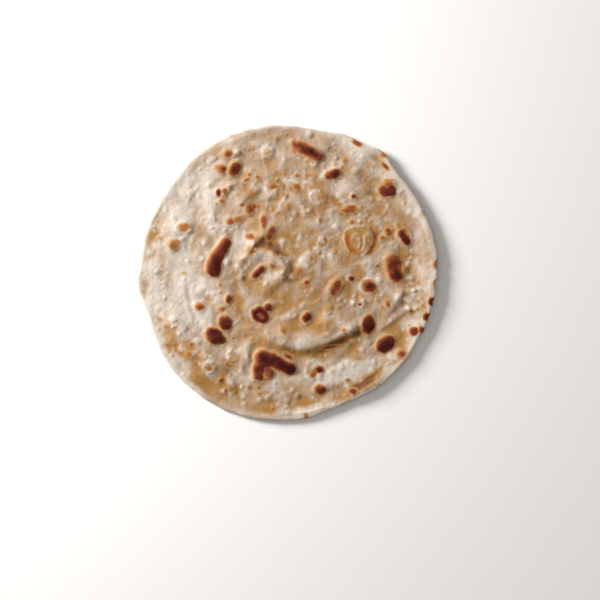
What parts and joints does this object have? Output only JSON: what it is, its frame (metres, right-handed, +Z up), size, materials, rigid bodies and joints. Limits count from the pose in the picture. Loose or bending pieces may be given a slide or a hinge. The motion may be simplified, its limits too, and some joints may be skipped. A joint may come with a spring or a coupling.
{
  "type": "chapati flatbread",
  "caption": "Round, thin unleavened wholewheat flatbread with a gently wavy rim, folds and toasted steam blisters.",
  "frame": {"origin": "on the surface it lies on, under the middle of the bread's outline", "axes": "+Z up, out of the browned top face; +X along the longest width, towards the rim that curls up most"},
  "size_m": [0.198, 0.1946, 0.0066],
  "materials": {
    "bread": "matt floury baked dough, cream with golden patches and dark brown toasted blisters"
  },
  "bodies": {
    "root": {"chapati": "bread"}
  },
  "joints": []
}
